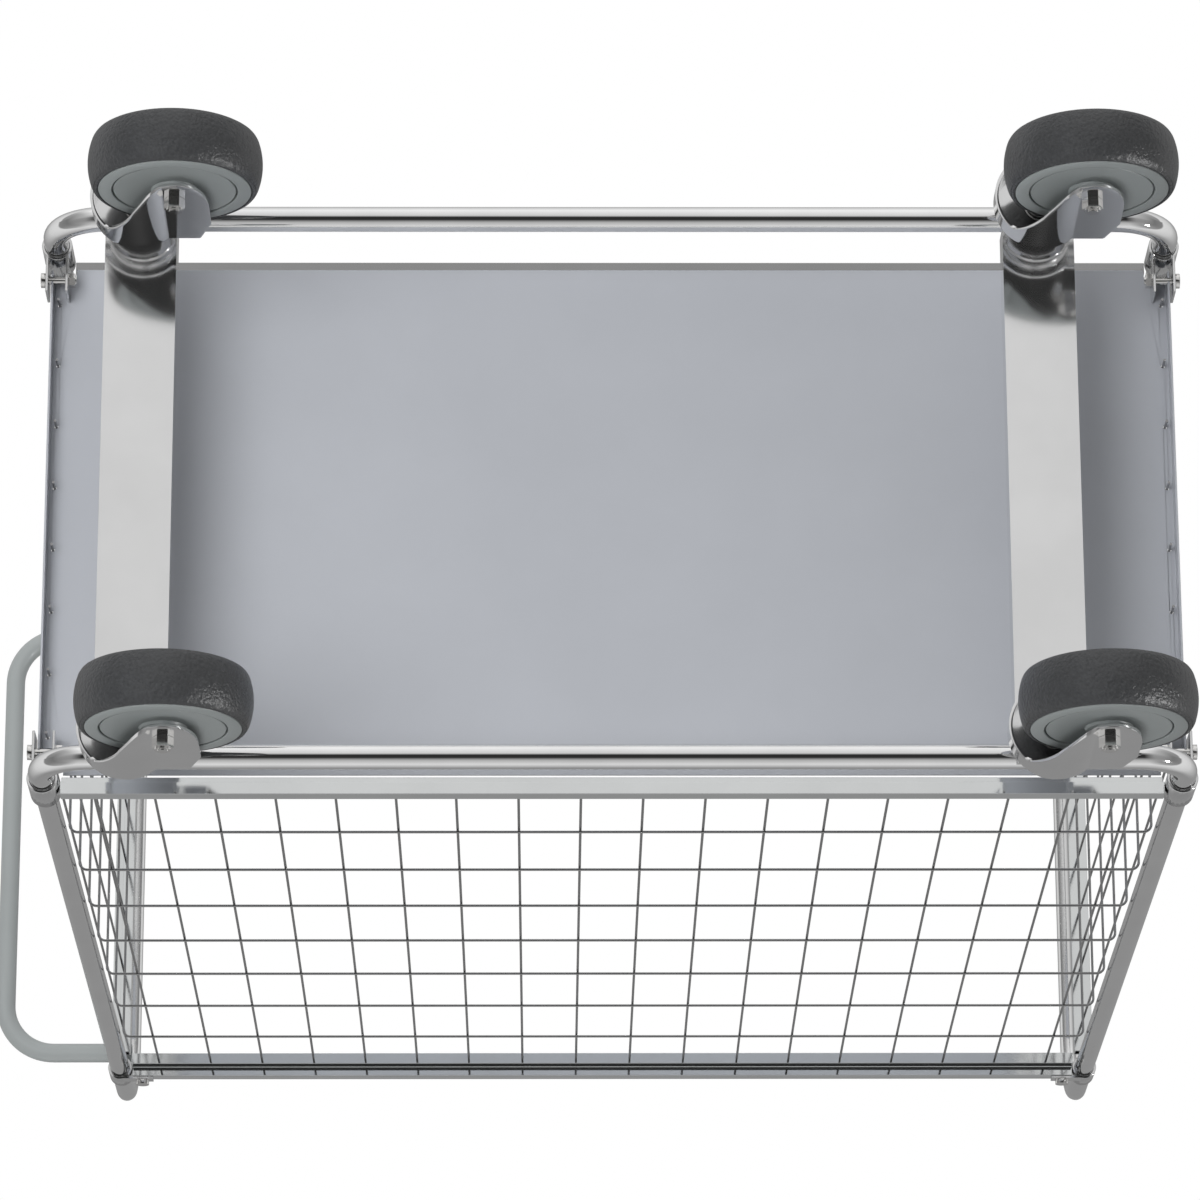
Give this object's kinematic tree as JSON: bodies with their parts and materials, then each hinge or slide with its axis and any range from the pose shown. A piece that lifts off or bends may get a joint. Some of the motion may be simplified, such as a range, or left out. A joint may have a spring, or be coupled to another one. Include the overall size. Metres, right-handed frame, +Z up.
{
  "type": "mesh-sided four-castor luggage trolley",
  "caption": "Upright tube-framed trolley with wire mesh sides, an open top, a sheet tray, swivel castors at the corners and a push handle at one end.",
  "frame": {"origin": "on the floor, below the middle of the outer box", "axes": "+Z up, +X the travel direction away from the handle, +Y towards one long mesh side"},
  "size_m": [0.9396, 0.475, 1.198],
  "materials": {
    "chrome_tube": "bright plated",
    "galvanised": "satin zinc plated",
    "tray": "satin blue-grey coated sheet",
    "wire": "satin zinc plated",
    "fastener": "bright zinc plated",
    "clamp": "bright zinc plated",
    "handle_paint": "satin light grey-green powder coat",
    "castor_plate": "bright zinc plated",
    "fork": "bright zinc plated",
    "tyre": "matt dark grey thermoplastic rubber, fine leathery grain",
    "hub": "satin light grey plastic",
    "bush": "plain white plastic"
  },
  "bodies": {
    "frame": {"lower_rail_front": "chrome_tube", "lower_rail_back": "chrome_tube", "end_frame_rear": "chrome_tube", "end_frame_fore": "chrome_tube", "cross_member_rear": "galvanised", "cross_member_fore": "galvanised", "tray": "tray", "panel_rail_low_front": "galvanised", "panel_rail_low_back": "galvanised", "panel_rail_top_front": "galvanised", "panel_rail_top_back": "galvanised", "end_rail_rear": "galvanised", "end_rail_fore": "galvanised", "mesh_front": "wire", "mesh_back": "wire", "mesh_rear": "wire", "mesh_fore": "wire", "clamp_low_1": "clamp", "clamp_low_2": "clamp", "clamp_low_3": "clamp", "clamp_low_4": "clamp", "clamp_top_1": "clamp", "clamp_top_2": "clamp", "clamp_top_3": "clamp", "clamp_top_4": "clamp", "clamp_bolts": "fastener", "handle": "handle_paint", "handle_bolts": "fastener", "castor_head_1": "castor_plate", "kingpin_1": "fastener", "castor_head_2": "castor_plate", "kingpin_2": "fastener", "castor_head_3": "castor_plate", "kingpin_3": "fastener", "castor_head_4": "castor_plate", "kingpin_4": "fastener"},
    "swivel_1": {"fork_1": "fork", "axle_1": "fastener"},
    "wheel_1": {"tyre_1": "tyre", "hub_1": "hub", "bush_1": "bush"},
    "swivel_2": {"fork_2": "fork", "axle_2": "fastener"},
    "wheel_2": {"tyre_2": "tyre", "hub_2": "hub", "bush_2": "bush"},
    "swivel_3": {"fork_3": "fork", "axle_3": "fastener"},
    "wheel_3": {"tyre_3": "tyre", "hub_3": "hub", "bush_3": "bush"},
    "swivel_4": {"fork_4": "fork", "axle_4": "fastener"},
    "wheel_4": {"tyre_4": "tyre", "hub_4": "hub", "bush_4": "bush"}
  },
  "joints": [
    {"name": "swivel_1", "type": "hinge", "parent": "frame", "child": "swivel_1", "pos_m": [0.3588, 0.201, 0.15], "axis": [0, 0, 1], "continuous": true},
    {"name": "spin_1", "type": "hinge", "parent": "swivel_1", "child": "wheel_1", "pos_m": [0.3893, 0.201, 0.0625], "axis": [0, 1, 0], "continuous": true},
    {"name": "swivel_2", "type": "hinge", "parent": "frame", "child": "swivel_2", "pos_m": [0.3588, -0.201, 0.15], "axis": [0, 0, 1], "continuous": true},
    {"name": "spin_2", "type": "hinge", "parent": "swivel_2", "child": "wheel_2", "pos_m": [0.3893, -0.201, 0.0625], "axis": [0, 1, 0], "continuous": true},
    {"name": "swivel_3", "type": "hinge", "parent": "frame", "child": "swivel_3", "pos_m": [-0.2952, 0.201, 0.15], "axis": [0, 0, 1], "continuous": true},
    {"name": "spin_3", "type": "hinge", "parent": "swivel_3", "child": "wheel_3", "pos_m": [-0.2647, 0.201, 0.0625], "axis": [0, 1, 0], "continuous": true},
    {"name": "swivel_4", "type": "hinge", "parent": "frame", "child": "swivel_4", "pos_m": [-0.2952, -0.201, 0.15], "axis": [0, 0, 1], "continuous": true},
    {"name": "spin_4", "type": "hinge", "parent": "swivel_4", "child": "wheel_4", "pos_m": [-0.2647, -0.201, 0.0625], "axis": [0, 1, 0], "continuous": true}
  ]
}
